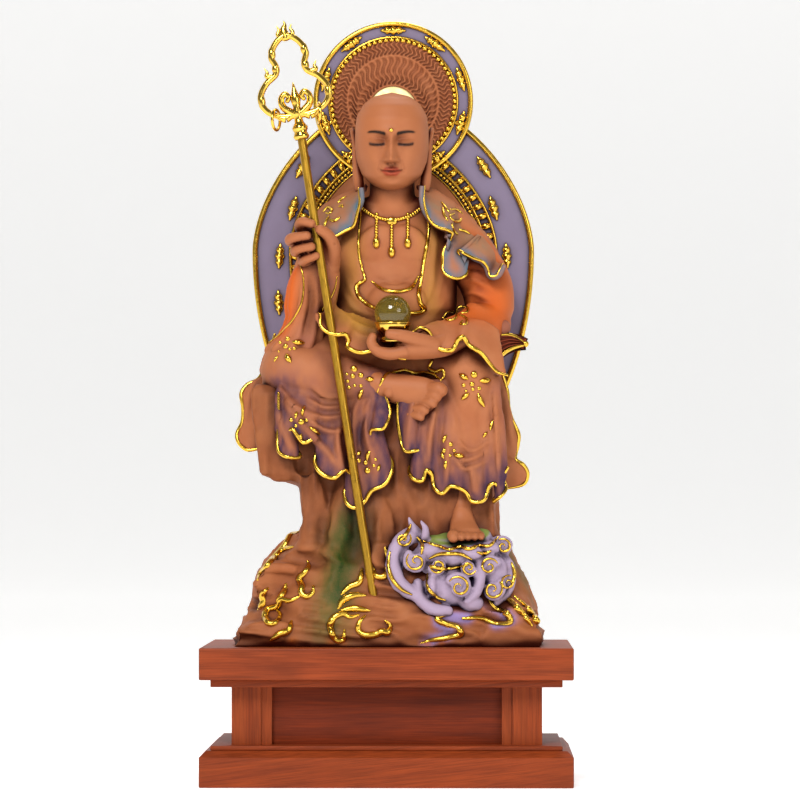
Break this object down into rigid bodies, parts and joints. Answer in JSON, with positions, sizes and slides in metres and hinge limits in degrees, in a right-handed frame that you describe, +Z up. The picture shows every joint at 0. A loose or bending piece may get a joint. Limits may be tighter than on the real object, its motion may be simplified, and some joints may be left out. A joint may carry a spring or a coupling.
{
  "type": "jizo statue",
  "caption": "Seated Jizo figure cast in one with its rock, with a ring-topped staff, a crystal ball and a halo plate, on a stepped wooden plinth.",
  "frame": {"origin": "middle of the plinth's underside, on the surface that it stands on", "axes": "+Z up; the figure faces -Y; +X is the side of the figure's own left hand, which holds the ball"},
  "size_m": [0.204, 0.136, 0.4285],
  "materials": {
    "clay": "matt painted resin in terracotta, with washes and gilt lines",
    "lilac": "matt lilac-grey paint on resin",
    "gilt": "bright gilt",
    "staff_brass": "duller gilt rod",
    "crystal": "clear smoky-yellow crystal",
    "redwood": "satin stained wood"
  },
  "bodies": {
    "root": {"figure_and_rock": "clay", "halo_plate": "lilac", "staff_shaft": "staff_brass", "staff_head": "gilt", "ring_left": "gilt", "ring_right": "gilt", "ball_cup": "gilt", "crystal_ball": "crystal", "plinth_base_board": "redwood", "plinth_step": "redwood", "plinth_waist": "redwood", "plinth_post_left_front": "redwood", "plinth_post_right_front": "redwood", "plinth_post_left_back": "redwood", "plinth_post_right_back": "redwood", "plinth_neck": "redwood", "plinth_top_board": "redwood"}
  },
  "joints": []
}
